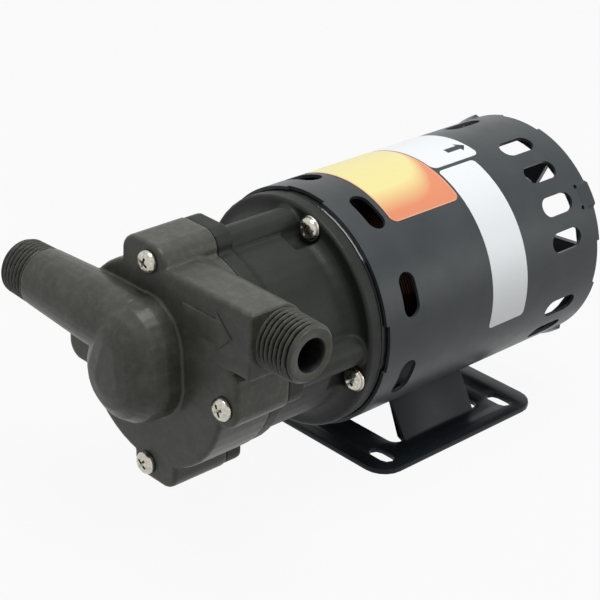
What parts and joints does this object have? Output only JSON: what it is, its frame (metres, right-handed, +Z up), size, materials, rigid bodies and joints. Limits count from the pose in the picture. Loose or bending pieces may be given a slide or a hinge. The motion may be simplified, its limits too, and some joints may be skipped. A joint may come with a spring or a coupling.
{
  "type": "inline magnetic-drive pump",
  "caption": "Inline magnetic-drive centrifugal pump on a vented round motor, with side inlet and outlet spigots and a slotted base plate.",
  "frame": {"origin": "underside of the base plate, midway between its two front mounting slots", "axes": "+Z up from the surface it is bolted to, +X from the inlet spigot to the outlet spigot, +Y from the pump head to the rear of the motor"},
  "size_m": [0.1211, 0.1924, 0.0988],
  "materials": {
    "glass_filled_plastic": "grainy matt, moulded",
    "black_plastic": "satin, moulded",
    "pale_plastic": "natural, moulded",
    "black_paint": "satin black paint",
    "dark_steel": "blackened",
    "bright_steel": "bright, plated or ground",
    "silicon_steel": "laminated, varnished",
    "enamelled_copper": "enamelled copper wire, varnished",
    "cast_aluminium": "as cast",
    "sintered_bronze": "sintered",
    "ferrite": "sintered magnet",
    "ceramic": "ground",
    "carbon": "pressed graphite",
    "rubber": "moulded"
  },
  "bodies": {
    "root": {"front_casing": "glass_filled_plastic", "casing_o_ring": "rubber", "rear_housing": "glass_filled_plastic", "pump_spindle": "ceramic", "front_thrust_washer": "ceramic", "rear_thrust_washer": "ceramic", "motor_adaptor": "black_plastic", "cover_screw_1": "bright_steel", "cover_screw_2": "bright_steel", "cover_screw_3": "bright_steel", "cover_screw_4": "bright_steel", "adaptor_screw_1": "bright_steel", "adaptor_screw_2": "bright_steel", "adaptor_screw_3": "bright_steel", "adaptor_screw_4": "bright_steel", "front_end_bell": "cast_aluminium", "rear_end_bell": "black_paint", "front_bearing": "sintered_bronze", "rear_bearing": "sintered_bronze", "stator_core": "silicon_steel", "stator_winding": "enamelled_copper", "motor_shell": "black_paint", "lead_grommet": "rubber", "base_bracket": "black_paint"},
    "rotor": {"motor_shaft": "bright_steel", "rotor_core": "silicon_steel", "drive_magnet_cup": "dark_steel", "drive_magnet_ring": "ferrite", "hub_set_screw": "dark_steel", "cooling_fan": "cast_aluminium"},
    "impeller": {"impeller": "pale_plastic", "inner_magnet": "ferrite", "impeller_bush": "carbon"}
  },
  "joints": [
    {"name": "rotor_spin", "type": "hinge", "parent": "root", "child": "rotor", "pos_m": [0, 0.03, 0.0568], "axis": [0, 1, 0], "continuous": true},
    {"name": "impeller_spin", "type": "hinge", "parent": "root", "child": "impeller", "pos_m": [0, -0.06, 0.0568], "axis": [0, 1, 0], "continuous": true}
  ],
  "couplings": [
    {"joint": "impeller_spin", "follows": "rotor_spin", "ratio": 1}
  ]
}
